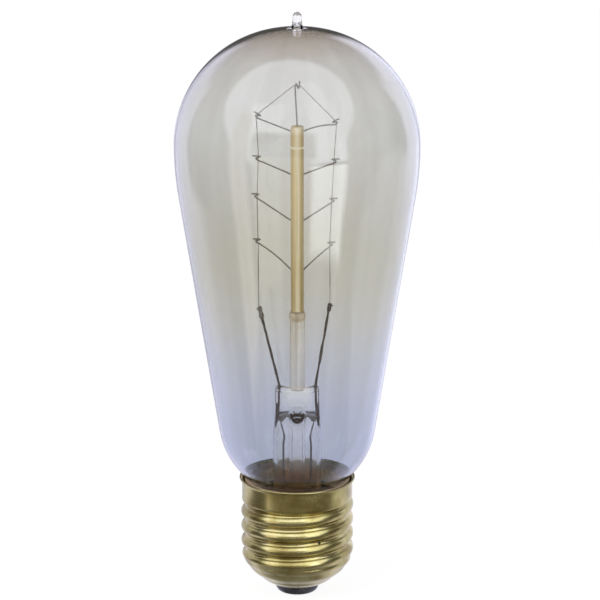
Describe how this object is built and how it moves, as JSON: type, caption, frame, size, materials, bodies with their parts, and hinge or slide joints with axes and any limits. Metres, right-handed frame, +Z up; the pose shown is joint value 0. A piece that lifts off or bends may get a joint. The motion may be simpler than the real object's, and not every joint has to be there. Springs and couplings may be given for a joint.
{
  "type": "carbon filament light bulb",
  "caption": "Long pear-shaped clear glass bulb with a sealed tip, a screw cap, and a carbon filament strung on wire hooks from a central amber glass rod.",
  "frame": {"origin": "middle of the flat centre contact under the screw cap, on the bulb's axis", "axes": "+Z up along the bulb's axis from the contact to the glass tip; +X to the viewer's right in the picture, in the plane of the filament; +Y away from the viewer"},
  "size_m": [0.0576, 0.0576, 0.1414],
  "materials": {
    "envelope_glass": "clear blown glass",
    "stem_glass": "clear pressed and drawn glass",
    "amber_glass": "cloudy amber glass rod",
    "black_glass": "opaque black insulating glass",
    "cap_brass": "rolled sheet, pale and lightly tarnished",
    "cement": "baked basing cement",
    "solder": "soft solder",
    "support_wire": "dull drawn wire",
    "lead_wire": "dull nickel wire",
    "seal_copper": "copper-clad seal wire, dull red",
    "lead_copper": "copper wire",
    "carbon": "baked carbon thread"
  },
  "bodies": {
    "root": {"glass_envelope": "envelope_glass", "envelope_tip": "envelope_glass", "cap_shell": "cap_brass", "basing_cement": "cement", "cap_insulator": "black_glass", "centre_contact": "cap_brass", "contact_solder": "solder", "side_solder": "solder", "stem_flare": "stem_glass", "stem_press": "stem_glass", "exhaust_tube": "stem_glass", "clear_rod": "stem_glass", "rod_bead": "stem_glass", "support_rod": "amber_glass", "apex_support": "support_wire", "left_support_1": "support_wire", "left_support_2": "support_wire", "left_support_3": "support_wire", "left_support_4": "support_wire", "right_support_1": "support_wire", "right_support_2": "support_wire", "right_support_3": "support_wire", "right_support_4": "support_wire", "carbon_filament": "carbon", "filament_clamp_left": "lead_wire", "filament_clamp_right": "lead_wire", "inner_lead_left": "lead_wire", "inner_lead_right": "lead_wire", "seal_wire_left": "seal_copper", "seal_wire_right": "seal_copper", "outer_lead_centre": "lead_copper", "outer_lead_side": "lead_copper"}
  },
  "joints": []
}
